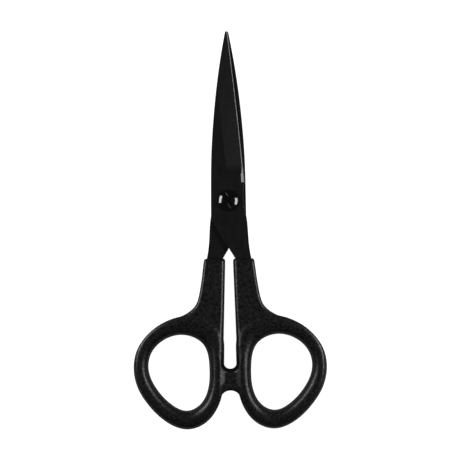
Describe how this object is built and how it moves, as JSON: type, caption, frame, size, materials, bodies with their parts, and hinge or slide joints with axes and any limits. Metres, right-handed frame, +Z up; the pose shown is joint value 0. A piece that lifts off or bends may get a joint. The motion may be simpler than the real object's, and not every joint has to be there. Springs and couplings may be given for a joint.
{
  "type": "office scissors",
  "caption": "Small office scissors with black coated steel blades, moulded finger loops and an adjustable slotted pivot screw.",
  "frame": {"origin": "on the pivot axis, in the plane that the scissors rest on when they lie flat", "axes": "+Z up, out of the screw head; +Y along the closed blades towards the tip; +X towards the right-hand finger loop"},
  "size_m": [0.0654, 0.1349, 0.0074],
  "materials": {
    "blade_steel": "satin black non-stick coating with bare honed edges",
    "handle_plastic": "fine moulded grain",
    "pivot_metal": "gloss black zinc",
    "spring_steel": "oil-blackened spring steel",
    "washer_plastic": "natural acetal"
  },
  "bodies": {
    "rear_half": {"rear_blade": "blade_steel", "left_handle": "handle_plastic", "pivot_nut": "pivot_metal", "disc_spring": "spring_steel", "friction_washer": "washer_plastic"},
    "front_half": {"front_blade": "blade_steel", "right_handle": "handle_plastic"},
    "tension_screw": {"pivot_screw": "pivot_metal"}
  },
  "joints": [
    {"name": "blade_pivot", "type": "hinge", "parent": "rear_half", "child": "front_half", "pos_m": [0, 0, 0.0045], "axis": [0, 0, 1], "range_deg": [0, 140]},
    {"name": "screw_turn", "type": "hinge", "parent": "rear_half", "child": "tension_screw", "pos_m": [0, 0, 0.0037], "axis": [0, 0, 1], "range_deg": [-45, 45]}
  ]
}
